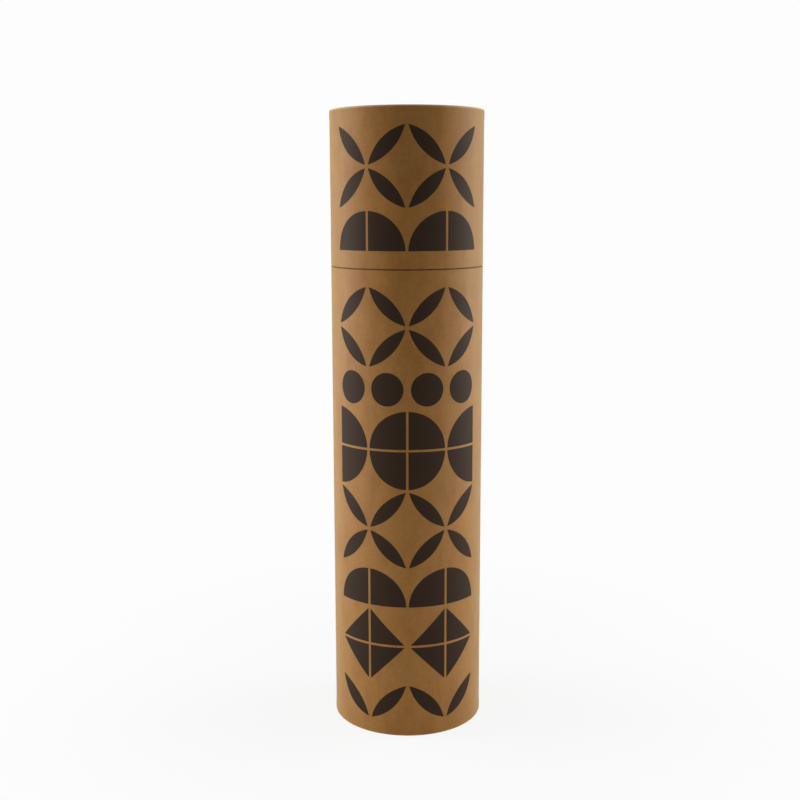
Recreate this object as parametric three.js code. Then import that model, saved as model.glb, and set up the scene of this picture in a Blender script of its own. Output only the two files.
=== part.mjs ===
// A kraft cylinder box: two wound paper tubes of one diameter, one with a glued-in bottom and one with a
// glued-in top, and a thinner neck tube glued inside the lower one. The neck stands out of the lower tube,
// and the lid slips over it until the two outer tubes meet in one flush seam.
//
// Units are millimetres and +Z is up. The origin is on the axis, in the plane that the box stands on.

import * as THREE from "three";

// Outer tubes. Lid and base are cut from the same tube, so they share its diameter and wall.
const outerDiameter = 84;
const tubeWall = 1.8;
const baseHeight = 258.4;
const lidHeight = 83.5;
const seamGap = 0.3; // between the base's mouth and the lid's mouth, with the lid pushed home

// The printed wrap is turned in over the closed end of each tube and ends behind the end disc. It thickens
// the wall there by its own thickness, half outwards and half inwards.
const wrapPaper = 0.25;
const turnInRamp = 2.5; // height over which the outside swells to the thicker end
const rimRound = 0.6; // outer edge of the turned-in rim
const rimInnerRound = 0.45;
const mouthEase = 0.25; // softened edges of the cut mouths

// End discs, pressed into the tubes from the closed ends and set back a little from the rims.
const discThickness = 2;
const discRecess = 1.2;
const discClearance = 0.1; // radial, filled with glue
const discEdgeRound = 0.3;

// Neck tube: stands on the base disc, is glued into the base and guides the lid.
const neckWall = 1.2;
const neckRise = 40; // length that stands out of the base
const neckClearance = 0.15; // radial, to the tubes around it
const neckEdgeRound = 0.4;

// Facets round the axis, and steps in the quarter turn of a rounded edge.
const facets = 80;
const edgeSteps = 3;

const outerRadius = outerDiameter / 2;
const boreRadius = outerRadius - tubeWall;
const turnInSwell = wrapPaper / 2;
const turnInDepth = discRecess + discThickness;
const lidBottom = baseHeight + seamGap;

const kraft = new THREE.MeshStandardMaterial({ color: 0xa8845a, roughness: 0.78, metalness: 0 });
const kraftLiner = new THREE.MeshStandardMaterial({ color: 0xb59468, roughness: 0.85, metalness: 0 });
const kraftBoard = new THREE.MeshStandardMaterial({ color: 0xa07c54, roughness: 0.82, metalness: 0 });

// A corner of a profile, at a radius from the axis and a height, with the round of its edge.
function corner(radius, height, round = 0) {
  return { at: new THREE.Vector2(radius, height), round };
}

// The points of a rounded corner: an arc of edgeSteps steps that touches both sides of the corner.
// Its round is limited to half of the shorter side, so that it stays inside a thin wall.
function roundedCorner(before, here, after) {
  const back = before.at.clone().sub(here.at);
  const ahead = after.at.clone().sub(here.at);
  const halfAngle = back.angleTo(ahead) / 2;
  const shorterSide = Math.min(back.length(), ahead.length());
  const round = Math.min(here.round, (shorterSide / 2) * Math.tan(halfAngle));
  back.normalize();
  ahead.normalize();
  const bisector = back.clone().add(ahead).normalize();
  const centre = here.at.clone().addScaledVector(bisector, round / Math.sin(halfAngle));
  const start = here.at.clone().addScaledVector(back, round / Math.tan(halfAngle));
  const turn = -Math.sign(back.cross(ahead)) * (Math.PI - 2 * halfAngle);
  return Array.from({ length: edgeSteps + 1 }, (_, step) => {
    const angle = (turn * step) / edgeSteps;
    return start.clone().rotateAround(centre, angle);
  });
}

// Corners in order round a closed section, turned into the points of a revolved profile.
function closedProfile(corners) {
  const points = corners.flatMap((here, index) => {
    if (here.round === 0) return [here.at];
    const before = corners[(index + corners.length - 1) % corners.length];
    return roundedCorner(before, here, corners[(index + 1) % corners.length]);
  });
  return [...points, points[0].clone()];
}

// Revolves a profile, given as radius and height, about the vertical axis.
function revolve(points, material, name) {
  const geometry = new THREE.LatheGeometry(points, facets);
  geometry.rotateX(Math.PI / 2);
  const mesh = new THREE.Mesh(geometry, material);
  mesh.name = name;
  return mesh;
}

// A wound tube with its cut mouth at height 0 and its turned-in rim at the top. The wrap ends inside as a
// small ledge, level with the inner face of the end disc.
function rimmedTube(height, name) {
  const turnInEnd = height - turnInDepth;
  const rimOuter = outerRadius + turnInSwell;
  const rimInner = boreRadius - turnInSwell;
  const profile = closedProfile([
    corner(boreRadius, 0, mouthEase),
    corner(outerRadius, 0, mouthEase),
    corner(outerRadius, turnInEnd - turnInRamp),
    corner(rimOuter, turnInEnd),
    corner(rimOuter, height, rimRound),
    corner(rimInner, height, rimInnerRound),
    corner(rimInner, turnInEnd),
    corner(boreRadius, turnInEnd),
  ]);
  return revolve(profile, kraft, name);
}

// A board disc that fills the turned-in end of a tube, with its lower face at height 0.
function endDisc(name) {
  const discRadius = boreRadius - turnInSwell - discClearance;
  const axisFoot = corner(0, 0);
  const axisTop = corner(0, discThickness);
  const footEdge = corner(discRadius, 0, discEdgeRound);
  const topEdge = corner(discRadius, discThickness, discEdgeRound);
  const profile = [
    axisFoot.at,
    ...roundedCorner(axisFoot, footEdge, topEdge),
    ...roundedCorner(footEdge, topEdge, axisTop),
    axisTop.at,
  ];
  return revolve(profile, kraftBoard, name);
}

// The neck tube, from the base disc up to its free edge, which is rounded to lead the lid on.
function neckTube(name) {
  const neckOuter = boreRadius - neckClearance;
  const neckInner = neckOuter - neckWall;
  const length = baseHeight + neckRise - turnInDepth;
  const profile = closedProfile([
    corner(neckInner, 0),
    corner(neckOuter, 0),
    corner(neckOuter, length, neckEdgeRound),
    corner(neckInner, length, neckEdgeRound),
  ]);
  const neck = revolve(profile, kraftLiner, name);
  neck.position.z = turnInDepth;
  return neck;
}

// The base: its tube stands on the turned-in rim, so it is the lid's tube upside down.
function base() {
  const group = new THREE.Group();
  const tube = rimmedTube(baseHeight, "base_tube");
  tube.rotation.x = Math.PI;
  tube.position.z = baseHeight;
  const disc = endDisc("base_disc");
  disc.position.z = discRecess;
  group.add(tube, disc, neckTube("neck_tube"));
  return group;
}

// The lid, in its own frame with its mouth at height 0, set on the base with the seam gap.
function lid() {
  const group = new THREE.Group();
  const disc = endDisc("lid_disc");
  disc.position.z = lidHeight - turnInDepth;
  group.add(rimmedTube(lidHeight, "lid_tube"), disc);
  group.position.z = lidBottom;
  return group;
}

const cylinderBox = new THREE.Group();
cylinderBox.add(base(), lid());

export default cylinderBox;
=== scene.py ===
"""A kraft cylinder box in a studio: paper, board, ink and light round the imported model.

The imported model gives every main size. Each of its five pieces is made again here as a fine surface of
revolution: the wrapped walls of base and lid, the neck liner and the two end boards. The wrap has its lap
seam at the back, its turn-in pleats inside the rims and a printed panel of plain geometric tiles in front.

Lengths are in metres unless a name ends in _mm. The box stands on the floor at the origin, its printed front
faces -Y, and azimuths are measured from the front, positive towards +X.
"""

import logging
import math
from dataclasses import dataclass, field
from enum import Enum
from typing import Callable

import bmesh
import bpy
import numpy as np
from mathutils import Matrix, Vector


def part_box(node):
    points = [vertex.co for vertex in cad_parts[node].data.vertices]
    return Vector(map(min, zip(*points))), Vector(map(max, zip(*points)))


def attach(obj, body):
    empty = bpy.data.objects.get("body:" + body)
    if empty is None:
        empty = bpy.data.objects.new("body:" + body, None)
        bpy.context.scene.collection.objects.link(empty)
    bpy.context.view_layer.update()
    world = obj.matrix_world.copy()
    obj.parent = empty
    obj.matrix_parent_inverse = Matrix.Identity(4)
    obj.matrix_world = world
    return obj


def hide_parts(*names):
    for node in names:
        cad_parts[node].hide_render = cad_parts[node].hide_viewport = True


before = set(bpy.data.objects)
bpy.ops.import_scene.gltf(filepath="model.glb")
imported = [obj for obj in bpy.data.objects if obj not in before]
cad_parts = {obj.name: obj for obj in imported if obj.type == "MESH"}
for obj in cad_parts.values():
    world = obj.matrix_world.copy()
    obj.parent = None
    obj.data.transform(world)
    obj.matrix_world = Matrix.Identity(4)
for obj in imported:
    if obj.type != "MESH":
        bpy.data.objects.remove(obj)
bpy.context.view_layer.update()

MM = 0.001
PICTURE_PIXELS = 800

log = logging.getLogger("cylinder_box")


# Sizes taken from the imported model


def ring_radii(node: str) -> tuple[float, float]:
    """Smallest and largest distance of a CAD node's corners from the vertical axis.

    Args:
        node: The CAD node's name.

    Returns:
        The inner and the outer radius, in metres.
    """
    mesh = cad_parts[node].data
    places = np.empty(len(mesh.vertices) * 3, np.float32)
    mesh.vertices.foreach_get("co", places)
    away = np.hypot(places[0::3], places[1::3])
    return float(away.min()), float(away.max())


@dataclass(frozen=True)
class Span:
    """The lowest and the highest level of a piece."""

    low: float
    high: float

    @classmethod
    def of(cls, node: str) -> "Span":
        """The levels between which a CAD node lies."""
        low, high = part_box(node)
        return cls(low.z, high.z)


@dataclass(frozen=True)
class TubeStock:
    """The sizes that lid and base share, because both are cut from one wound tube."""

    rim_radius: float
    rim_bore: float
    turn_in_depth: float
    swell: float = 0.125 * MM
    ramp: float = 2.5 * MM
    rim_round: float = 0.6 * MM
    rim_inner_round: float = 0.45 * MM
    mouth_ease: float = 0.25 * MM

    @classmethod
    def from_frame(cls) -> "TubeStock":
        """Reads the stock's sizes from the base's tube and disc."""
        rim_bore, _ = ring_radii("base_tube")
        low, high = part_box("base_tube")
        return cls((high.x - low.x) / 2, rim_bore, Span.of("base_disc").high - low.z)

    @property
    def radius(self) -> float:
        """Outer radius of the plain wall."""
        return self.rim_radius - self.swell

    @property
    def bore(self) -> float:
        """Radius of the plain bore."""
        return self.rim_bore + self.swell


# Outlines and surfaces of revolution


class Skin(Enum):
    """The kind of paper surface that a stretch of an outline shows."""

    WRAP = 0
    BOARD = 1
    LINER = 2


@dataclass(frozen=True)
class Corner:
    """A corner of an outline: its place, its rounding, and the stretch that follows it."""

    radius: float
    height: float
    round: float = 0.0
    skin: Skin = Skin.WRAP
    step: float = 6 * MM
    marks: tuple[float, ...] = ()
    steps: int = 5

    @property
    def at(self) -> np.ndarray:
        """The corner as a point of the outline's plane."""
        return np.array([self.radius, self.height])


def fillet(before: np.ndarray, here: Corner, after: np.ndarray) -> np.ndarray:
    """The arc that rounds a corner and touches both of its sides.

    Its centre lies on the corner's bisector, at round / sin(half angle) from the corner, and it touches each
    side at round / tan(half angle) from the corner.

    Args:
        before: The outline's point before the corner.
        here: The corner.
        after: The outline's point after the corner.

    Returns:
        The arc's points in order, or the corner alone where it has no rounding.
    """
    if here.round == 0:
        return here.at[None, :]
    back = (before - here.at) / np.linalg.norm(before - here.at)
    ahead = (after - here.at) / np.linalg.norm(after - here.at)
    half = math.acos(np.clip(back @ ahead, -1, 1)) / 2
    bisector = (back + ahead) / np.linalg.norm(back + ahead)
    centre = here.at + bisector * here.round / math.sin(half)
    start = here.at + back * here.round / math.tan(half) - centre
    side = np.sign(back[0] * ahead[1] - back[1] * ahead[0])
    turn = -side * (math.pi - 2 * half) * np.linspace(0, 1, here.steps + 1)
    across = np.array([-start[1], start[0]])
    return centre + np.cos(turn)[:, None] * start + np.sin(turn)[:, None] * across


def stops(length: float, step: float, marks: list[float]) -> np.ndarray:
    """Distances along a straight stretch at which it gets a point, its two ends left out.

    Points stand close behind each end, so that the smooth shading of a rounded edge stops there, and on every
    mark. What lies between is divided evenly.

    Args:
        length: The stretch's length.
        step: The widest space between points.
        marks: Distances that must get a point.

    Returns:
        The distances, rising.
    """
    hold = 0.15 * MM
    if length < 4 * hold:
        return np.empty(0)
    knots = np.array(sorted([0.0, hold, *marks, length - hold, length]))
    spans = []
    for start, end in zip(knots, knots[1:]):
        pieces = max(1, math.ceil((end - start) / step - 1e-6))
        spans.append(np.linspace(start, end, pieces + 1)[:-1])
    return np.concatenate(spans)[1:]


@dataclass
class Outline:
    """An outline in the plane of radius and height, with the skin and the stretch of each of its points."""

    points: np.ndarray
    skins: np.ndarray
    stretch: np.ndarray
    closed: bool

    @classmethod
    def through(cls, corners: list[Corner], closed: bool = True) -> "Outline":
        """Rounds the corners, puts points along the stretches and records which stretch each point is on.

        Args:
            corners: The corners in order, with the material on the left of the way that they run.
            closed: Whether the last corner joins the first. If not, both lie on the axis.

        Returns:
            The finished outline.
        """
        count = len(corners)
        arcs = [
            fillet(corners[i - 1].at, corner, corners[(i + 1) % count].at) for i, corner in enumerate(corners)
        ]
        points: list[np.ndarray] = []
        skins: list[np.ndarray] = []
        stretch: list[np.ndarray] = []
        for i, corner in enumerate(corners if closed else corners[:-1]):
            start, end = arcs[i][-1], arcs[(i + 1) % count][0]
            way = end - start
            length = float(np.linalg.norm(way))
            marks = [] if way[1] == 0 else [float((m - start[1]) / way[1] * length) for m in corner.marks]
            inner = start + stops(length, corner.step, marks)[:, None] / length * way
            points += [arcs[i], inner]
            total = len(arcs[i]) + len(inner)
            skins.append(np.full(total, corner.skin.value))
            stretch.append(np.full(total, i))
        if not closed:
            points.append(arcs[-1])
            skins.append(np.full(len(arcs[-1]), corners[-1].skin.value))
            stretch.append(np.full(len(arcs[-1]), count - 1))
        return cls(np.concatenate(points), np.concatenate(skins), np.concatenate(stretch), closed)

    @property
    def path(self) -> np.ndarray:
        """Distance along the outline from its first point to each point."""
        steps = np.linalg.norm(np.diff(self.points, axis=0), axis=1)
        return np.concatenate([[0.0], np.cumsum(steps)])


Relief = Callable[[np.ndarray, Outline], np.ndarray]


def no_relief(azimuths: np.ndarray, outline: Outline) -> np.ndarray:
    """A surface with no relief."""
    return np.zeros((len(azimuths), len(outline.points), 2))


@dataclass
class Lathe:
    """Turns an outline round the vertical axis into a mesh of quads."""

    name: str
    outline: Outline
    azimuths: np.ndarray
    relief: Relief = no_relief

    def places(self) -> np.ndarray:
        """The grid of points, columns by outline points.

        A point at azimuth a stands at (r sin a, -r cos a, z), where r and z are the outline's radius and
        height plus the relief there. A point of the axis keeps its radius of 0.

        Returns:
            An array of columns by points by three.
        """
        moved = self.outline.points[None] + self.relief(self.azimuths, self.outline)
        radius = np.where(self.outline.points[None, :, 0] < 1e-9, 0.0, moved[..., 0])
        turn = self.azimuths[:, None]
        return np.stack([radius * np.sin(turn), -radius * np.cos(turn), moved[..., 1]], -1)

    def make(self, finishes: dict[Skin, bpy.types.Material]) -> bpy.types.Object:
        """Builds the object with its sheet map, its smooth shading and one material per skin.

        The sheet map holds the distance round the wall from the front line, at the outline's widest radius,
        and the distance along the outline.

        Args:
            finishes: The material of each skin that the outline shows.

        Returns:
            The object, at the origin.
        """
        grid = self.places()
        columns, rows = grid.shape[:2]
        column = np.arange(columns)
        row = np.arange(rows if self.outline.closed else rows - 1)
        left, low = np.meshgrid(column, row, indexing="ij")
        right, high = (left + 1) % columns, (low + 1) % rows
        turns = [(left, low), (right, low), (right, high), (left, high)]
        quads = np.stack([line * rows + point for line, point in turns], -1).reshape(-1, 4)
        mesh = bpy.data.meshes.new(self.name)
        mesh.vertices.add(columns * rows)
        mesh.vertices.foreach_set("co", grid.astype(np.float32).ravel())
        mesh.loops.add(quads.size)
        mesh.loops.foreach_set("vertex_index", quads.astype(np.int32).ravel())
        mesh.polygons.add(len(quads))
        mesh.polygons.foreach_set("loop_start", np.arange(0, quads.size, 4, dtype=np.int32))
        skins = self.outline.skins[low.ravel()]
        slots = list(finishes)
        order = np.array([slots.index(Skin(s)) if Skin(s) in finishes else 0 for s in range(len(Skin))])
        for finish in finishes.values():
            mesh.materials.append(finish)
        mesh.polygons.foreach_set("material_index", order[skins].astype(np.int32))
        mesh.update(calc_edges=True)
        self.map_sheet(mesh, left, low)
        if not self.outline.closed:
            self.weld_poles(mesh)
        mesh.shade_smooth()
        obj = bpy.data.objects.new(self.name, mesh)
        bpy.context.scene.collection.objects.link(obj)
        return obj

    def map_sheet(self, mesh: bpy.types.Mesh, left: np.ndarray, low: np.ndarray) -> None:
        """Writes the sheet map and its copy fitted to the unit square, with one seam at the first column.

        Args:
            mesh: The mesh, whose faces lie in the order of left and low.
            left: Each face's first column.
            low: Each face's first outline point.
        """
        reach = self.outline.points[:, 0].max()
        round_the_wall = np.append(self.azimuths, self.azimuths[0] + 2 * math.pi) * reach
        path = self.outline.path
        closing = np.linalg.norm(self.outline.points[0] - self.outline.points[-1])
        along = np.append(path, path[-1] + closing)
        u = np.stack([round_the_wall[left + k] for k in (0, 1, 1, 0)], -1)
        v = np.stack([along[low + k] for k in (0, 0, 1, 1)], -1)
        flat = np.stack([u, v], -1)
        low_end, high_end = flat.min((0, 1)), flat.max((0, 1))
        unit = (flat - low_end) / (high_end - low_end) * 0.996 + 0.002
        for name, spots in (("Sheet", flat), ("OFBake", unit)):
            layer = mesh.uv_layers.new(name=name)
            layer.uv.foreach_set("vector", spots.astype(np.float32).ravel())

    def weld_poles(self, mesh: bpy.types.Mesh) -> None:
        """Joins the points that coincide on the axis, so that the faces round each pole are triangles.

        Args:
            mesh: The mesh, whose only points nearer to each other than the limit are those of a pole.
        """
        work = bmesh.new()
        work.from_mesh(mesh)
        bmesh.ops.remove_doubles(work, verts=work.verts[:], dist=1e-7)
        work.to_mesh(mesh)
        work.free()


def smooth_rise(value: np.ndarray) -> np.ndarray:
    """0 below 0, 1 above 1 and 3 v^2 - 2 v^3 between."""
    held = np.clip(value, 0, 1)
    return held * held * (3 - 2 * held)


# Shader graphs written as expressions


class Signal:
    """An output of a shader graph that takes part in Python expressions on numbers."""

    def __init__(self, graph: "Graph", socket: bpy.types.NodeSocket | None) -> None:
        """Wraps an output socket of the graph."""
        self.graph = graph
        self.socket = socket

    def _math(self, operation: str, *values: "Signal | float") -> "Signal":
        """One Math node on the values."""
        return self.graph.node("ShaderNodeMath", {"operation": operation}, dict(enumerate(values)))

    def __add__(self, other: "Signal | float") -> "Signal":
        """The sum."""
        return self._math("ADD", self, other)

    __radd__ = __add__

    def __sub__(self, other: "Signal | float") -> "Signal":
        """The difference."""
        return self._math("SUBTRACT", self, other)

    def __rsub__(self, other: "Signal | float") -> "Signal":
        """The difference, the other way round."""
        return self._math("SUBTRACT", other, self)

    def __mul__(self, other: "Signal | float") -> "Signal":
        """The product."""
        return self._math("MULTIPLY", self, other)

    __rmul__ = __mul__

    def __truediv__(self, other: "Signal | float") -> "Signal":
        """The quotient."""
        return self._math("DIVIDE", self, other)

    def __abs__(self) -> "Signal":
        """The size without its sign."""
        return self._math("ABSOLUTE", self)

    def root(self) -> "Signal":
        """The square root."""
        return self._math("SQRT", self)

    def sine(self) -> "Signal":
        """The sine of an angle in radians."""
        return self._math("SINE", self)

    def fraction(self) -> "Signal":
        """What is left above the next lower whole number."""
        return self._math("FRACT", self)

    def least(self, other: "Signal | float") -> "Signal":
        """The lesser of the two."""
        return self._math("MINIMUM", self, other)

    def most(self, other: "Signal | float") -> "Signal":
        """The greater of the two."""
        return self._math("MAXIMUM", self, other)

    def rise(self, low: float, high: float) -> "Signal":
        """A smooth step of the value.

        Args:
            low: Where the step has 0.
            high: Where it has 1. It may be the lower of the two.

        Returns:
            The step.
        """
        settings = {"interpolation_type": "SMOOTHSTEP"}
        flip = high < low
        values = {0: self, 1: min(low, high), 2: max(low, high), 3: float(flip), 4: float(not flip)}
        return self.graph.node("ShaderNodeMapRange", settings, values)


Triple = tuple[float, float, float]
Colour = Triple


class Graph:
    """The node tree of a material or a world, and the one method that adds any node to it."""

    def __init__(self, owner: bpy.types.Material | bpy.types.World) -> None:
        """Empties the node tree of a material or a world.

        Args:
            owner: The material or the world.
        """
        owner.use_nodes = True
        self.owner = owner
        self.tree = owner.node_tree
        self.tree.nodes.clear()
        self.count = 0

    @classmethod
    def material(cls, name: str) -> "Graph":
        """The graph of a new material of that name."""
        return cls(bpy.data.materials.new(name))

    def node(
        self,
        kind: str,
        settings: dict[str, object] | None = None,
        values: dict[int | str, object] | None = None,
        out: int | str = 0,
    ) -> Signal:
        """Adds a node.

        Args:
            kind: The node's type.
            settings: Its properties, set before its sockets.
            values: A value, a colour or a Signal for each input, by the input's name or number.
            out: The output to return, by name or number.

        Returns:
            The output as a Signal, which is empty for a node that has none.
        """
        made = self.tree.nodes.new(kind)
        made.location = (220 * (self.count % 12), -260 * (self.count // 12))
        self.count += 1
        for name, setting in (settings or {}).items():
            setattr(made, name, setting)
        for key, value in (values or {}).items():
            socket = made.inputs[key]
            if isinstance(value, Signal):
                self.tree.links.new(value.socket, socket)
            elif isinstance(value, tuple) and len(value) == 3 and socket.type == "RGBA":
                socket.default_value = (*value, 1.0)
            else:
                socket.default_value = value
        return Signal(self, made.outputs[out] if len(made.outputs) else None)

    def place(self) -> Signal:
        """Object coordinates, in metres, with the floor's middle as their origin."""
        return self.node("ShaderNodeTexCoord", out="Object")

    def sheet(self) -> Signal:
        """The piece's own sheet map, in metres."""
        return self.node("ShaderNodeUVMap", {"uv_map": "Sheet"})

    def from_axis(self) -> Signal:
        """Distance from the vertical axis, in metres."""
        x, y, _ = self.parts(self.place())
        return (x * x + y * y).root()

    def attribute(self, name: str) -> tuple[Signal, Signal, Signal]:
        """The three numbers of a vector attribute of the piece."""
        return self.parts(self.node("ShaderNodeAttribute", {"attribute_name": name}, out="Vector"))

    def parts(self, vector: Signal) -> tuple[Signal, Signal, Signal]:
        """A vector's three numbers."""
        split = self.node("ShaderNodeSeparateXYZ", values={0: vector}).socket.node
        return tuple(Signal(self, split.outputs[i]) for i in range(3))

    def turned(self, vector: Signal, degrees: float, scale: Triple, shift: float = 0) -> Signal:
        """A vector scaled, after a turn about Z.

        Args:
            vector: The coordinates.
            degrees: The turn.
            scale: The factor along each axis, after the turn.
            shift: Added along X and Y after that, to reach another part of a pattern.

        Returns:
            The new coordinates.
        """
        turn = {"Vector": vector, "Rotation": (0, 0, math.radians(degrees))}
        spun = self.node("ShaderNodeMapping", values=turn)
        sized = {"Vector": spun, "Scale": scale, "Location": (shift, shift, 0)}
        return self.node("ShaderNodeMapping", values=sized)

    def noise(self, vector: Signal, per_metre: float, detail: float = 2, roughness: float = 0.5) -> Signal:
        """Noise about 0.5, with so many bumps to the metre."""
        values = {"Vector": vector, "Scale": per_metre, "Detail": detail, "Roughness": roughness}
        return self.node("ShaderNodeTexNoise", values=values)

    def mix(self, share: "Signal | float", first: "Signal | Colour", second: "Signal | Colour") -> Signal:
        """A colour between two colours: the first at share 0, the second at 1."""
        values = {0: share, 6: first, 7: second}
        return self.node("ShaderNodeMix", {"data_type": "RGBA", "clamp_factor": True}, values, out=2)

    def shade(self, colour: "Signal | Colour", factor: Signal) -> Signal:
        """A colour made darker or lighter by a factor about 1."""
        grey = self.node("ShaderNodeCombineXYZ", values={0: factor, 1: factor, 2: factor})
        return self.node("ShaderNodeVectorMath", {"operation": "MULTIPLY"}, {0: colour, 1: grey})

    def relief(self, height: Signal, depth_mm: float) -> Signal:
        """The normal of a bumpy surface, from a height between 0 and 1 and the bumps' depth."""
        values = {"Strength": 0.6, "Distance": depth_mm * MM, "Height": height}
        return self.node("ShaderNodeBump", values=values)

    def in_view(self) -> Signal:
        """1 for a ray from the camera, off a gloss or through glass, and 0 for a ray that only lights."""
        path = self.node("ShaderNodeLightPath", out="Is Camera Ray").socket.node
        kinds = ("Is Camera Ray", "Is Glossy Ray", "Is Transmission Ray")
        camera, glossy, through = (Signal(self, path.outputs[kind]) for kind in kinds)
        return camera.most(glossy).most(through)

    def surface(self, shader: Signal) -> bpy.types.Material:
        """Joins a shader to the material's output.

        Args:
            shader: The surface's shader.

        Returns:
            The material.
        """
        self.node("ShaderNodeOutputMaterial", values={"Surface": shader})
        return self.owner


# Paper, board and ink


PLY = 0.36 * MM
RIBBON = 96 * MM
RIBBON_SLOPE = 0.45


def linear(red: int, green: int, blue: int) -> Colour:
    """A colour as screens show it, turned into the linear numbers that shaders use.

    Args:
        red: The red part, from 0 to 255.
        green: The green part.
        blue: The blue part.

    Returns:
        The three parts, from 0 to 1.
    """
    shown = np.array([red, green, blue]) / 255
    light = np.where(shown <= 0.04045, shown / 12.92, ((shown + 0.055) / 1.055) ** 2.4)
    return tuple(float(part) for part in light)


@dataclass(frozen=True)
class Fibres:
    """Short straight fibres scattered in a sheet. Lengths are in millimetres."""

    length_mm: float
    width_mm: float
    share: float
    turn: float
    shift: float

    def mask(self, graph: Graph, sheet: Signal) -> Signal:
        """1 on a fibre and 0 off it.

        Each cell of a stretched cell pattern has one fibre: the points nearer than a set distance to the
        cell's own point. A share of the cells, picked by their random colour, keeps its fibre.

        Args:
            graph: The material's graph.
            sheet: Flat coordinates on the sheet, in metres.

        Returns:
            The mask.
        """
        reach = 0.2
        across = self.width_mm * MM / (2 * reach)
        along = self.length_mm * MM / (2 * reach)
        stretched = graph.turned(sheet, self.turn, (1 / along, 1 / across, 1), self.shift)
        values = {"Vector": stretched, "Scale": 1.0}
        cell = graph.node("ShaderNodeTexVoronoi", {"voronoi_dimensions": "2D"}, values)
        random, _, _ = graph.parts(Signal(graph, cell.socket.node.outputs["Color"]))
        return cell.rise(reach, reach * 0.6) * random.rise(self.share + 0.01, self.share)


@dataclass(frozen=True)
class Kraft:
    """Unbleached kraft paper: its colour, how cloudy and grainy it is, and the fibres that show in it."""

    colour: Colour
    cloud: float = 0.17
    grain: float = 0.18
    fibre_depth: float = 0.5
    roughness: float = 0.56
    sheen: float = 0.35
    bump_mm: float = 0.012
    patches: float = 0.8
    dark_fibres: tuple[Fibres, ...] = (
        Fibres(2.2, 0.22, 0.10, 20, 0.0),
        Fibres(1.6, 0.18, 0.12, -38, 7.3),
        Fibres(2.8, 0.2, 0.08, 83, 3.1),
    )
    pale_fibres: tuple[Fibres, ...] = (
        Fibres(2.0, 0.2, 0.12, 62, 11.7),
        Fibres(1.5, 0.24, 0.10, -8, 5.9),
    )

    def tone(self, graph: Graph, sheet: Signal) -> Signal:
        """The paper's brightness about 1: soft clouds, fine grain, then dark and pale fibres.

        Args:
            graph: The material's graph.
            sheet: Flat coordinates on the sheet, in metres.

        Returns:
            The factor on the paper's colour.
        """
        place = graph.place()
        clouds = graph.noise(place, 70, 3, 0.6) - 0.5
        patches = graph.noise(graph.turned(sheet, 0, (260, 420, 1)), 1, 2) - 0.5
        grain = graph.noise(place, 1500, 3, 0.7) - 0.5
        tone = 1 + clouds * self.cloud * 1.6 + patches * self.cloud + grain * self.grain
        for fibres in self.dark_fibres:
            tone = tone * (1 - fibres.mask(graph, sheet) * (self.fibre_depth * 0.55))
        for fibres in self.pale_fibres:
            tone = tone * (1 + fibres.mask(graph, sheet) * (self.fibre_depth * 0.45))
        return tone

    def paper(self, graph: Graph, sheet: Signal) -> Signal:
        """The paper's colour over a sheet: its tone, and patches where it is redder and deeper.

        Args:
            graph: The material's graph.
            sheet: Flat coordinates on the sheet, in metres.

        Returns:
            The colour.
        """
        patch = graph.noise(graph.turned(sheet, 0, (95, 34, 1), 4.0), 1, 4, 0.6).rise(0.42, 0.66)
        red, green, blue = self.colour
        deep = (red * 0.88, green * 0.81, blue * 0.73)
        return graph.shade(graph.mix(patch * self.patches, self.colour, deep), self.tone(graph, sheet))

    def shader(self, graph: Graph, colour: Signal) -> Signal:
        """A soft rough surface with a fibrous grain and a sheen of loose fibres.

        Args:
            graph: The material's graph.
            colour: The colour over the surface.

        Returns:
            The surface's shader.
        """
        grain = graph.noise(graph.place(), 2200, 3, 0.65)
        values = {
            "Base Color": colour,
            "Roughness": self.roughness + (grain - 0.5) * 0.2,
            "IOR": 1.42,
            "Specular IOR Level": 0.2,
            "Sheen Weight": self.sheen,
            "Sheen Roughness": 0.42,
            "Sheen Tint": (1.0, 0.95, 0.58, 1.0),
            "Normal": graph.relief(grain, self.bump_mm),
        }
        return graph.node("ShaderNodeBsdfPrincipled", values=values)


KRAFT_WRAP = Kraft(linear(143, 99, 47), sheen=0.5)
KRAFT_LINER = Kraft(linear(163, 126, 86), cloud=0.12, sheen=0.25, roughness=0.7)
KRAFT_DISC = Kraft(linear(160, 118, 72), cloud=0.18, grain=0.2, sheen=0.25, roughness=0.68)
RAW_BOARD = Kraft(linear(150, 121, 88), grain=0.3, sheen=0.15, roughness=0.8, bump_mm=0.03)


@dataclass(frozen=True)
class Ink:
    """Screen ink on the kraft: thin, matt and warm black, with the paper's grain showing through it."""

    colour: Colour
    mottle: float = 0.3
    roughness: float = 0.62
    bump_mm: float = 0.008

    def shader(self, graph: Graph) -> Signal:
        """The ink's surface, without the paper's sheen.

        Args:
            graph: The material's graph.

        Returns:
            The surface's shader.
        """
        grain = graph.noise(graph.place(), 1600, 3, 0.7)
        clouds = graph.noise(graph.place(), 180, 3, 0.6)
        tone = 1 + (grain - 0.5) * self.mottle + (clouds - 0.5) * self.mottle
        values = {
            "Base Color": graph.shade(self.colour, tone),
            "Roughness": self.roughness + (grain - 0.5) * 0.2,
            "IOR": 1.33,
            "Specular IOR Level": 0.2,
            "Specular Tint": (1.0, 0.76, 0.56, 1.0),
            "Normal": graph.relief(grain, self.bump_mm),
        }
        return graph.node("ShaderNodeBsdfPrincipled", values=values)


WARM_BLACK = Ink(linear(38, 29, 23))


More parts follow.
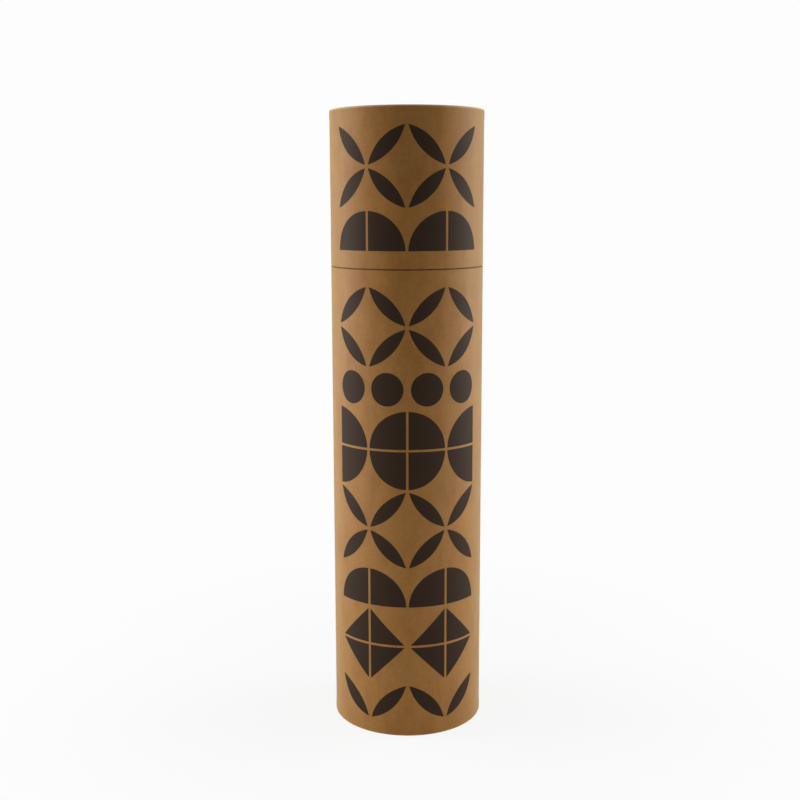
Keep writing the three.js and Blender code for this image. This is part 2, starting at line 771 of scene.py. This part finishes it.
@dataclass(frozen=True)
class Lap:
    """Where the wrap's two edges overlap, in a straight seam down the back."""

    azimuth: float = math.radians(-176)
    width_mm: float = 9.0
    thickness_mm: float = 0.11
    # Width of the dark line at the lap's edge: glue, and partly painted shade.
    glue_and_shade_line_mm: float = 0.22

    def relief(self, azimuths: np.ndarray, radius: float) -> np.ndarray:
        """How far the wall stands out over the lap.

        The lap starts with a sharp step, the outer sheet's cut edge, and falls away softly over the inner
        sheet's edge: thickness times 1 - smooth rise over the lap's width.

        Args:
            azimuths: The columns' azimuths, from the lap's edge on.
            radius: The wall's radius.

        Returns:
            The relief of each column.
        """
        past = (azimuths - self.azimuth) * radius / (self.width_mm * MM)
        return self.thickness_mm * MM * (1 - smooth_rise(past * 1.5 - 0.5)) * (past > 1e-6)


LAP = Lap()


# The printed panel


PETAL = 1.3
PETAL_SIDE = math.sqrt((PETAL**2 - 0.5) / 2)
FAR = 60.0
FAR_SIDE = FAR / math.sqrt(2)


class Motif(Enum):
    """What a tile of the print holds: where two discs overlap inside it.

    Each disc is its centre across and up the tile and its radius, all in tile widths. A petal's two discs of
    radius PETAL cross at opposite corners of the tile, so each centre lies PETAL_SIDE across and up from the
    middle. A disc as large as FAR has a straight edge here.
    """

    BARE = ((0, 0, -1), (0, 0, -1))
    RISING = ((0.5 - PETAL_SIDE, 0.5 + PETAL_SIDE, PETAL), (0.5 + PETAL_SIDE, 0.5 - PETAL_SIDE, PETAL))
    FALLING = ((0.5 - PETAL_SIDE, 0.5 - PETAL_SIDE, PETAL), (0.5 + PETAL_SIDE, 0.5 + PETAL_SIDE, PETAL))
    QUARTER_LOW_LEFT = ((0, 0, 1), (0, 0, 1))
    QUARTER_LOW_RIGHT = ((1, 0, 1), (1, 0, 1))
    QUARTER_HIGH_RIGHT = ((1, 1, 1), (1, 1, 1))
    QUARTER_HIGH_LEFT = ((0, 1, 1), (0, 1, 1))
    DISC = ((0.5, 0.5, 0.44), (0.5, 0.5, 0.44))
    WEDGE_LOW_LEFT = ((0.5 - FAR_SIDE, 0.5 - FAR_SIDE, FAR),) * 2
    WEDGE_LOW_RIGHT = ((0.5 + FAR_SIDE, 0.5 - FAR_SIDE, FAR),) * 2
    WEDGE_HIGH_RIGHT = ((0.5 + FAR_SIDE, 0.5 + FAR_SIDE, FAR),) * 2
    WEDGE_HIGH_LEFT = ((0.5 - FAR_SIDE, 0.5 + FAR_SIDE, FAR),) * 2


# A row of the print is one pair of motifs, set twice side by side.
PETALS_MEETING_BELOW = (Motif.FALLING, Motif.RISING)
PETALS_MEETING_ABOVE = (Motif.RISING, Motif.FALLING)
DOMES = (Motif.QUARTER_LOW_RIGHT, Motif.QUARTER_LOW_LEFT)
DOMES_APART = (Motif.QUARTER_LOW_LEFT, Motif.QUARTER_LOW_RIGHT)
BOWLS_APART = (Motif.QUARTER_HIGH_LEFT, Motif.QUARTER_HIGH_RIGHT)
DISCS = (Motif.DISC, Motif.DISC)
PEAKS = (Motif.WEDGE_LOW_RIGHT, Motif.WEDGE_LOW_LEFT)
POINTS = (Motif.WEDGE_HIGH_RIGHT, Motif.WEDGE_HIGH_LEFT)

LID_ROWS = (PETALS_MEETING_BELOW, PETALS_MEETING_ABOVE, DOMES)
BASE_ROWS = (
    PETALS_MEETING_ABOVE,
    PETALS_MEETING_BELOW,
    DISCS,
    DOMES_APART,
    BOWLS_APART,
    PETALS_MEETING_BELOW,
    PETALS_MEETING_ABOVE,
    DOMES,
    PEAKS,
    POINTS,
    PETALS_MEETING_BELOW,
)


@dataclass(frozen=True)
class Panel:
    """A printed panel: rows of square tiles round the front of a wall, centred in the wall's height."""

    rows: tuple[tuple[Motif, Motif], ...]
    wall: Span
    radius: float
    tile_angle: float = math.radians(30)
    columns: int = 4
    gap_mm: float = 0.65

    @property
    def tile(self) -> float:
        """Width and height of a tile."""
        return self.radius * self.tile_angle

    @property
    def top(self) -> float:
        """Level of the panel's upper edge."""
        return (self.wall.low + self.wall.high + self.tile * len(self.rows)) / 2

    @property
    def levels(self) -> tuple[float, ...]:
        """The levels of the tiles' edges."""
        return tuple(self.top - self.tile * np.arange(len(self.rows) + 1))

    def tag(self, mesh: bpy.types.Mesh) -> None:
        """Gives every face the two discs of its tile, or discs of no size off the panel.

        A face's tile is found from its middle: its column from the azimuth, its row from the height.

        Args:
            mesh: The wall's mesh, with an edge on every tile's edge.
        """
        middles = np.empty(len(mesh.polygons) * 3, np.float32)
        mesh.polygons.foreach_get("center", middles)
        x, y, z = middles.reshape(-1, 3).T
        column = np.floor(np.arctan2(x, -y) / self.tile_angle + self.columns / 2).astype(int)
        row = np.floor((self.top - z) / self.tile).astype(int)
        outside = np.hypot(x, y) > self.radius - 0.5 * MM
        printed = (column >= 0) & (column < self.columns) & (row >= 0) & (row < len(self.rows)) & outside
        chart = np.array([[motif.value for motif in pair] for pair in self.rows])
        discs = chart[row.clip(0, len(self.rows) - 1), column % 2]
        discs = np.where(printed[:, None, None], discs, np.array(Motif.BARE.value)[None])
        for name, disc in zip(("first_disc", "second_disc"), np.moveaxis(discs, 1, 0)):
            layer = mesh.attributes.new(name, "FLOAT_VECTOR", "FACE")
            layer.data.foreach_set("vector", disc.astype(np.float32).ravel())

    def depth(self, graph: Graph, around: Signal, level: Signal) -> Signal:
        """How far inside the ink a point lies, in metres, and less than 0 off it.

        Inside a disc that is its radius less the distance from its centre. A motif takes the least over its
        two discs and the tile's own edge, less the gap that parts the tiles.

        Args:
            graph: The material's graph.
            around: Distance round the wall from the front line.
            level: Height above the floor.

        Returns:
            The depth.
        """
        across = (around / self.tile + self.columns / 2).fraction()
        up = ((level - self.top) / self.tile + float(len(self.rows))).fraction()
        depth = 0.5 - abs(across - 0.5).most(abs(up - 0.5))
        for name in ("first_disc", "second_disc"):
            x, y, radius = graph.attribute(name)
            dx, dy = across - x, up - y
            depth = depth.least(radius - (dx * dx + dy * dy).root())
        return depth * self.tile - self.gap_mm * MM


# Materials


def wrap_finish(name: str, panel: Panel, rim: float, mouth: float, rim_wear_and_highlight: float) -> bpy.types.Material:
    """Printed kraft wrap: ink, a glue line with painted shade, a rim of wear and painted highlight, painted
    seam shade.

    Args:
        name: The material's name.
        panel: The printed panel.
        rim: The level of the turned-in rim.
        mouth: The level of the cut mouth.
        rim_wear_and_highlight: How pale the rim is, from 0 to 1: its wear, and partly a painted highlight.

    Returns:
        The material.
    """
    graph = Graph.material(name)
    sheet = graph.sheet()
    around, _, _ = graph.parts(sheet)
    _, _, level = graph.parts(graph.place())
    paper = KRAFT_WRAP.paper(graph, sheet)
    fuzz = graph.noise(graph.place(), 1800, 2) - 0.5
    # The pale rim is wear where the turned-in rim is handled, and partly a painted highlight where light
    # catches its rounding.
    wear_and_highlight_mask = 1 - abs(level - rim).rise(0.3 * MM, 1.2 * MM)
    paper = graph.mix(wear_and_highlight_mask * (1 + fuzz * 0.6) * rim_wear_and_highlight, paper, linear(226, 190, 138))
    # Painted shade: the dark band at the mouth's level stands in for the shadow in the gap between lid and
    # base.
    cut = 1 - abs(level - mouth).rise(0.15 * MM, 0.42 * MM)
    paper = graph.mix(cut * (0.72 + fuzz * 0.5), paper, linear(84, 38, 22))
    lap_from = LAP.azimuth * panel.radius
    # The dark line at the lap's edge is glue, and partly painted shade of the step there.
    glue = 1 - abs(around - lap_from).rise(LAP.glue_and_shade_line_mm * 0.4 * MM, LAP.glue_and_shade_line_mm * MM)
    paper = graph.mix(glue * 0.5, paper, linear(92, 66, 42))
    ink = (panel.depth(graph, around, level) + fuzz * 0.1 * MM).rise(-0.05 * MM, 0.05 * MM)
    pinholes = graph.noise(graph.place(), 1100, 3, 0.7).rise(0.74, 0.8)
    cover = ink * (0.985 - pinholes * 0.35)
    layers = {0: cover, 1: KRAFT_WRAP.shader(graph, paper), 2: WARM_BLACK.shader(graph)}
    return graph.surface(graph.node("ShaderNodeMixShader", values=layers))


def board_finish() -> bpy.types.Material:
    """Raw cut board, with the edges of its wound plies as rings."""
    graph = Graph.material("raw_board_edge")
    sheet = graph.sheet()
    waver = graph.noise(graph.place(), 300, 2) * 0.12 * MM
    plies = ((graph.from_axis() + waver) * (2 * math.pi / PLY)).sine().rise(-0.6, 0.9)
    paper = graph.shade(RAW_BOARD.colour, RAW_BOARD.tone(graph, sheet) * (0.74 + plies * 0.34))
    return graph.surface(RAW_BOARD.shader(graph, paper))


def liner_finish() -> bpy.types.Material:
    """Kraft liner, wound as one ribbon, whose butt joint climbs round the tube as a thin dark line."""
    graph = Graph.material("kraft_liner")
    sheet = graph.sheet()
    around, along, _ = graph.parts(sheet)
    climb = (along - around * RIBBON_SLOPE) / RIBBON
    joint = abs(climb.fraction() - 0.5) * (RIBBON / MM)
    line = 1 - joint.rise(0.12, 0.3)
    beside = 1 - joint.rise(0.3, 2.2)
    paper = graph.shade(KRAFT_LINER.paper(graph, sheet), 1 - beside * 0.05)
    return graph.surface(KRAFT_LINER.shader(graph, graph.mix(line * 0.55, paper, linear(96, 70, 45))))


def disc_finish() -> bpy.types.Material:
    """Kraft-faced board of the end discs, darker towards its edge."""
    graph = Graph.material("kraft_disc")
    place = graph.place()
    edge = graph.from_axis().rise(38.6 * MM, 39.9 * MM)
    streaks = graph.noise(graph.turned(place, 14, (60, 900, 60)), 1, 2) - 0.5
    tone = (1 - edge * 0.14) * (1 + streaks * 0.06)
    return graph.surface(KRAFT_DISC.shader(graph, graph.shade(KRAFT_DISC.paper(graph, place), tone)))


# The box


def columns(lap: bool) -> np.ndarray:
    """The azimuths of a surface's columns, an even number to each printed tile.

    Args:
        lap: Whether the wrap's lap needs its sharp edge, which is two columns close together.

    Returns:
        The azimuths, rising from the lap's edge.
    """
    count = 240
    even = np.arange(count) * 2 * math.pi / count
    turned = (even + math.pi) % (2 * math.pi) - math.pi
    turned = np.where(turned < LAP.azimuth - 1e-9, turned + 2 * math.pi, turned)
    if not lap:
        return np.sort(turned)
    step = 0.05 * MM / 0.042
    started = turned[turned > LAP.azimuth + 2 * step]
    return np.sort(np.concatenate([[LAP.azimuth, LAP.azimuth + step], started]))


@dataclass
class WrappedTube:
    """A wound tube with its wrap: one of the two outer walls.

    The wall's own frame is the row's, with the rim at one end of the span and the mouth at the other.
    """

    name: str
    node: str
    body: str
    stock: TubeStock
    span: Span
    rim_up: bool
    rows: tuple[tuple[Motif, Motif], ...]
    rim_wear_and_highlight: float
    seed: int
    waver_mm: float = 0.035
    pleats: int = 34
    pleat_mm: float = 0.06

    def ends(self) -> tuple[float, float]:
        """The levels of the rim and of the mouth."""
        low, high = self.span.low, self.span.high
        return (high, low) if self.rim_up else (low, high)

    def corners(self) -> list[Corner]:
        """The wall's corners: from the bore's mouth, round the outside, over the rim and back in the bore."""
        s = self.stock
        rim, mouth = self.ends()
        inwards = -1 if self.rim_up else 1
        turn_in = rim + inwards * s.turn_in_depth
        ramp = turn_in + inwards * s.ramp
        levels = self.panel().levels
        fine = 0.3 * MM
        return [
            Corner(s.bore, mouth, s.mouth_ease, Skin.BOARD, fine, steps=4),
            Corner(s.radius, mouth, s.mouth_ease, Skin.WRAP, 5.6 * MM, levels, steps=4),
            Corner(s.radius, ramp, 0, Skin.WRAP, 0.5 * MM),
            Corner(s.rim_radius, turn_in, 0, Skin.WRAP, 0.6 * MM),
            Corner(s.rim_radius, rim, s.rim_round, Skin.WRAP, fine, steps=6),
            Corner(s.rim_bore, rim, s.rim_inner_round, Skin.WRAP, fine, steps=6),
            Corner(s.rim_bore, turn_in, 0, Skin.WRAP, fine),
            Corner(s.bore, turn_in, 0, Skin.LINER, 12 * MM),
        ]

    def panel(self) -> Panel:
        """The printed panel on this wall."""
        return Panel(self.rows, self.span, self.stock.radius)

    def relief(self, azimuths: np.ndarray, outline: Outline) -> np.ndarray:
        """The wall's small unevenness, outwards, and the pleats of its turn-in, inwards.

        The wall wavers by a sum of slow waves round it and along it, which die away at the mouth and the rim.
        The lap's thickness is added, and the sum is held inside the rim's radius. A pleat is a narrow ridge:
        the sixth power of a wave round the rim whose phase drifts, on the inner side of the turn-in alone.

        Args:
            azimuths: The columns' azimuths.
            outline: The wall's outline.

        Returns:
            Moves along radius and height, columns by points by two.
        """
        s = self.stock
        draw = np.random.default_rng(self.seed)
        radius, height = outline.points.T
        turn = azimuths[:, None]
        on_wall = np.isin(outline.stretch, (1, 2, 3)) & (radius >= s.radius - 0.05 * MM)
        ends = np.minimum(height - self.span.low, self.span.high - height)
        hold = smooth_rise((ends - 1.0 * MM) / (7 * MM)) * on_wall
        waves = np.zeros((len(azimuths), len(height)))
        for lobes in (2, 3, 5, 7):
            long = draw.uniform(50, 120) * MM
            phase, drift = draw.uniform(0, 2 * math.pi, 2)
            waves += np.sin(lobes * turn + phase + 1.5 * np.sin(2 * math.pi * height / long + drift)) / lobes
        moves = np.zeros((len(azimuths), len(height), 2))
        moves[..., 0] = waves * hold * self.waver_mm * MM
        lap = LAP.relief(azimuths, s.radius)[:, None] * on_wall * smooth_rise((ends - 0.2 * MM) / (0.8 * MM))
        moves[..., 0] = np.minimum(moves[..., 0] + lap, np.maximum(s.rim_radius - radius - 0.005 * MM, 0))
        phase = self.pleats * turn + 1.7 * np.sin(3 * turn + self.seed) + 1.1 * np.sin(7 * turn)
        ridge = (0.5 + 0.5 * np.sin(phase)) ** 6 * (0.65 + 0.35 * np.sin(5 * turn + 1))
        inner = np.isin(outline.stretch, (5, 6)) & (radius <= s.rim_bore + s.rim_inner_round)
        moves[..., 0] -= ridge * inner * self.pleat_mm * MM
        return moves

    def make(self, board: bpy.types.Material, liner: bpy.types.Material) -> bpy.types.Object:
        """Builds the wall, tags its print and puts it in place of its CAD node.

        Args:
            board: The finish of the cut mouth.
            liner: The finish of the bore.

        Returns:
            The wall.
        """
        panel = self.panel()
        corners = self.corners()
        outline = Outline.through(corners)
        rim, mouth = self.ends()
        wrap = wrap_finish(f"{self.name}_wrap", panel, rim, mouth, self.rim_wear_and_highlight)
        lathe = Lathe(self.name, outline, columns(lap=True), self.relief)
        wall = lathe.make({Skin.WRAP: wrap, Skin.BOARD: board, Skin.LINER: liner})
        if not self.rim_up:
            wall.data.flip_normals()
        panel.tag(wall.data)
        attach(wall, self.body)
        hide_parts(self.node)
        log.info("%s: %d faces, panel of %d rows", self.name, len(wall.data.polygons), len(self.rows))
        return wall


@dataclass
class NeckTube:
    """The thinner tube glued into the base, which the lid slips over."""

    name: str
    node: str
    body: str
    span: Span
    edge_round: float = 0.4 * MM
    joint_groove_mm: float = 0.03

    def relief(self, azimuths: np.ndarray, outline: Outline) -> np.ndarray:
        """A faint helical groove in the outer side, where the ribbon's edges meet.

        Its depth falls off as a bell curve of the distance from the joint, measured along the tube.

        Args:
            azimuths: The columns' azimuths.
            outline: The neck's outline.

        Returns:
            Moves along radius and height.
        """
        radius, height = outline.points.T
        outer = radius > radius.mean()
        climb = (height[None, :] - azimuths[:, None] * radius.max() * RIBBON_SLOPE) / RIBBON
        away = (np.mod(climb, 1) - 0.5) * RIBBON
        moves = np.zeros((len(azimuths), len(height), 2))
        moves[..., 0] = -np.exp(-((away / (1.2 * MM)) ** 2)) * outer * self.joint_groove_mm * MM
        return moves

    def make(self, liner: bpy.types.Material, board: bpy.types.Material) -> bpy.types.Object:
        """Builds the neck in place of its CAD node.

        Args:
            liner: The finish of both sides.
            board: The finish of the cut edges.

        Returns:
            The neck.
        """
        inner, outer = ring_radii(self.node)
        corners = [
            Corner(inner, self.span.low, 0, Skin.BOARD, 0.4 * MM),
            Corner(outer, self.span.low, 0, Skin.LINER, 3 * MM),
            Corner(outer, self.span.high, self.edge_round, Skin.BOARD, 0.2 * MM),
            Corner(inner, self.span.high, self.edge_round, Skin.LINER, 6 * MM),
        ]
        lathe = Lathe(self.name, Outline.through(corners), columns(lap=False), self.relief)
        neck = lathe.make({Skin.LINER: liner, Skin.BOARD: board})
        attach(neck, self.body)
        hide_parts(self.node)
        log.info("%s: %d faces", self.name, len(neck.data.polygons))
        return neck


@dataclass
class EndDisc:
    """A board disc pressed into the closed end of a tube."""

    name: str
    node: str
    body: str
    span: Span
    faces_up: bool
    edge_round: float = 0.3 * MM
    dish_mm: float = 0.14
    seed: int = 1

    def relief(self, azimuths: np.ndarray, outline: Outline) -> np.ndarray:
        """A shallow dish in the outer face, as glue pulls it, with a slow unevenness.

        The face sinks by the dish's depth times 1 - (r / R)^2, and by a few per cent of it more or less along
        two slow waves round the axis.

        Args:
            azimuths: The columns' azimuths.
            outline: The disc's outline.

        Returns:
            Moves along radius and height.
        """
        radius, height = outline.points.T
        reach = radius.max()
        level = self.span.high if self.faces_up else self.span.low
        face = np.abs(height - level) < 0.01 * MM
        bowl = np.clip(1 - (radius / (reach - self.edge_round)) ** 2, 0, 1) * face
        turn = azimuths[:, None]
        uneven = 1 + (0.12 * np.sin(2 * turn + self.seed) + 0.08 * np.sin(3 * turn)) * (radius / reach)
        moves = np.zeros((len(azimuths), len(height), 2))
        moves[..., 1] = bowl * uneven * self.dish_mm * MM * (-1 if self.faces_up else 1)
        return moves

    def make(self, finish: bpy.types.Material) -> bpy.types.Object:
        """Builds the disc in place of its CAD node.

        Args:
            finish: The finish of the whole disc.

        Returns:
            The disc.
        """
        _, radius = ring_radii(self.node)
        corners = [
            Corner(0, self.span.low, 0, Skin.BOARD, 2.5 * MM),
            Corner(radius, self.span.low, self.edge_round, Skin.BOARD, 0.4 * MM),
            Corner(radius, self.span.high, self.edge_round, Skin.BOARD, 2.5 * MM),
            Corner(0, self.span.high, 0, Skin.BOARD),
        ]
        lathe = Lathe(self.name, Outline.through(corners, closed=False), columns(lap=False), self.relief)
        disc = lathe.make({Skin.BOARD: finish})
        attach(disc, self.body)
        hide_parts(self.node)
        log.info("%s: %d faces", self.name, len(disc.data.polygons))
        return disc


# Studio


@dataclass(frozen=True)
class Softbox:
    """A rectangular lamp that faces a point of the box.

    Its place is given by azimuth from the front, distance from the axis and height of its middle.
    """

    name: str
    azimuth: float
    distance: float
    height: float
    width: float
    tall: float
    watts: float
    aim: float = 0.17

    def make(self) -> bpy.types.Object:
        """Builds the lamp and turns it towards its aim on the box's axis."""
        lamp = bpy.data.lights.new(self.name, "AREA")
        lamp.shape = "RECTANGLE"
        lamp.size, lamp.size_y = self.width, self.tall
        lamp.energy = self.watts
        obj = bpy.data.objects.new(self.name, lamp)
        turn = math.radians(self.azimuth)
        place = Vector((self.distance * math.sin(turn), -self.distance * math.cos(turn), self.height))
        aim = Vector((0, 0, self.aim)) - place
        obj.matrix_world = Matrix.Translation(place) @ aim.to_track_quat("-Z", "Y").to_matrix().to_4x4()
        bpy.context.scene.collection.objects.link(obj)
        return obj


SOFTBOXES = (
    Softbox("left_side", -90, 0.75, 0.26, 0.28, 0.8, 5.5),
    Softbox("left_rear", -110, 0.75, 0.26, 0.28, 0.8, 3.1),
    Softbox("right_side", 90, 0.75, 0.26, 0.28, 0.8, 3.7),
    Softbox("right_rear", 110, 0.75, 0.26, 0.28, 0.8, 4.2),
    Softbox("overhead", 0, 0.02, 1.1, 0.8, 0.8, 1.9),
    Softbox("low_left", -50, 0.42, 0.05, 0.3, 0.08, 0.5, aim=0.06),
    Softbox("low_right", 50, 0.42, 0.05, 0.3, 0.08, 0.4, aim=0.06),
)


@dataclass(frozen=True)
class Eye:
    """The camera, at the photograph's angle.

    Its place and turn come from a fit to the photograph: the box's side lines, rims and seam.
    """

    distance: float = 0.6484
    height: float = 0.2943
    down: float = 9.763
    aside: float = -0.361
    roll: float = -0.148
    focal_pixels: float = 1161.9
    sensor_mm: float = 36.0

    def make(self) -> bpy.types.Object:
        """Builds the camera and makes it the scene's own.

        It looks down by its angle and aside by its yaw, then turns about its own axis by its roll.

        Returns:
            The camera.
        """
        tilt, yaw, roll = (math.radians(a) for a in (self.down, self.aside, self.roll))
        ahead = Vector((math.sin(yaw) * math.cos(tilt), math.cos(yaw) * math.cos(tilt), -math.sin(tilt)))
        right = Vector((math.cos(yaw), -math.sin(yaw), 0))
        up = right.cross(ahead)
        right, up = right * math.cos(roll) + up * math.sin(roll), up * math.cos(roll) - right * math.sin(roll)
        turn = Matrix((right, up, -ahead)).transposed().to_4x4()
        lens = bpy.data.cameras.new("eye")
        lens.sensor_width = self.sensor_mm
        lens.lens = self.focal_pixels / PICTURE_PIXELS * self.sensor_mm
        eye = bpy.data.objects.new("eye", lens)
        eye.matrix_world = Matrix.Translation((0, -self.distance, self.height)) @ turn
        bpy.context.scene.collection.objects.link(eye)
        bpy.context.scene.camera = eye
        return eye


@dataclass(frozen=True)
class Studio:
    """A pale floor that runs out into a pale surround, with soft lamps."""

    floor_size: float = 12.0
    floor_colour: Colour = (0.86, 0.86, 0.86)
    white: float = 0.982
    near_white: float = 0.88
    shadow_reach: float = 0.34
    ambient: float = 0.015

    def floor_finish(self) -> bpy.types.Material:
        """Matt white paper that shows as the surround's white, but for the box's soft shadow.

        The share of plain white rises with the distance from the box, so that floor and surround meet unseen.

        Returns:
            The material.
        """
        graph = Graph.material("studio_floor")
        away = graph.from_axis()
        share = away.rise(0.05, self.shadow_reach) * (1 - self.near_white) + self.near_white
        matt = graph.node("ShaderNodeBsdfDiffuse", values={"Color": self.floor_colour})
        plain = graph.node("ShaderNodeEmission", values={"Color": (self.white,) * 3, "Strength": 1.0})
        choice = {0: share * graph.in_view(), 1: matt, 2: plain}
        return graph.surface(graph.node("ShaderNodeMixShader", values=choice))

    def make(self) -> None:
        """Builds the floor, the world, the lamps and the camera."""
        half = self.floor_size / 2
        mesh = bpy.data.meshes.new("studio_floor")
        corners = [(-half, -half, 0), (half, -half, 0), (half, half, 0), (-half, half, 0)]
        mesh.from_pydata(corners, [], [(0, 1, 2, 3)])
        mesh.materials.append(self.floor_finish())
        floor = bpy.data.objects.new("studio_floor", mesh)
        bpy.context.scene.collection.objects.link(floor)
        self.make_world()
        for softbox in SOFTBOXES:
            softbox.make()
        Eye().make()

    def make_world(self) -> None:
        """A surround that is plain white to the camera and in reflections, and dim grey as a light."""
        world = bpy.data.worlds.new("surround")
        graph = Graph(world)
        light = graph.node("ShaderNodeBackground", values={"Color": (1.0,) * 3, "Strength": self.ambient})
        seen = graph.node("ShaderNodeBackground", values={"Color": (self.white,) * 3, "Strength": 1.0})
        choice = graph.node("ShaderNodeMixShader", values={0: graph.in_view(), 1: light, 2: seen})
        graph.node("ShaderNodeOutputWorld", values={"Surface": choice})
        bpy.context.scene.world = world


@dataclass
class CylinderBox:
    """The whole box: base and lid, each a wrapped tube with its disc, and the neck between them."""

    stock: TubeStock = field(default_factory=TubeStock.from_frame)

    def make(self) -> list[bpy.types.Object]:
        """Builds the five pieces.

        Returns:
            The pieces.
        """
        board = board_finish()
        liner = liner_finish()
        disc = disc_finish()
        lower, upper = Span.of("base_tube"), Span.of("lid_tube")
        # The last number but one is how pale each rim is: wear, and partly a painted highlight, strongest on
        # the lid's top rim.
        base = WrappedTube("base_wall", "base_tube", "base", self.stock, lower, False, BASE_ROWS, 0.12, 3)
        lid = WrappedTube("lid_wall", "lid_tube", "lid", self.stock, upper, True, LID_ROWS, 0.55, 8)
        return [
            base.make(board, liner),
            NeckTube("neck_liner", "neck_tube", "base", Span.of("neck_tube")).make(liner, board),
            EndDisc("base_board", "base_disc", "base", Span.of("base_disc"), False, seed=4).make(disc),
            lid.make(board, liner),
            EndDisc("lid_board", "lid_disc", "lid", Span.of("lid_disc"), True, seed=9).make(disc),
        ]


def main() -> None:
    """Builds the studio and the box."""
    logging.basicConfig(level=logging.INFO, format="%(name)s: %(message)s")
    bpy.context.scene.view_settings.view_transform = "Standard"
    Studio().make()
    pieces = CylinderBox().make()
    log.info("%d pieces", len(pieces))


if __name__ == "__main__":
    main()
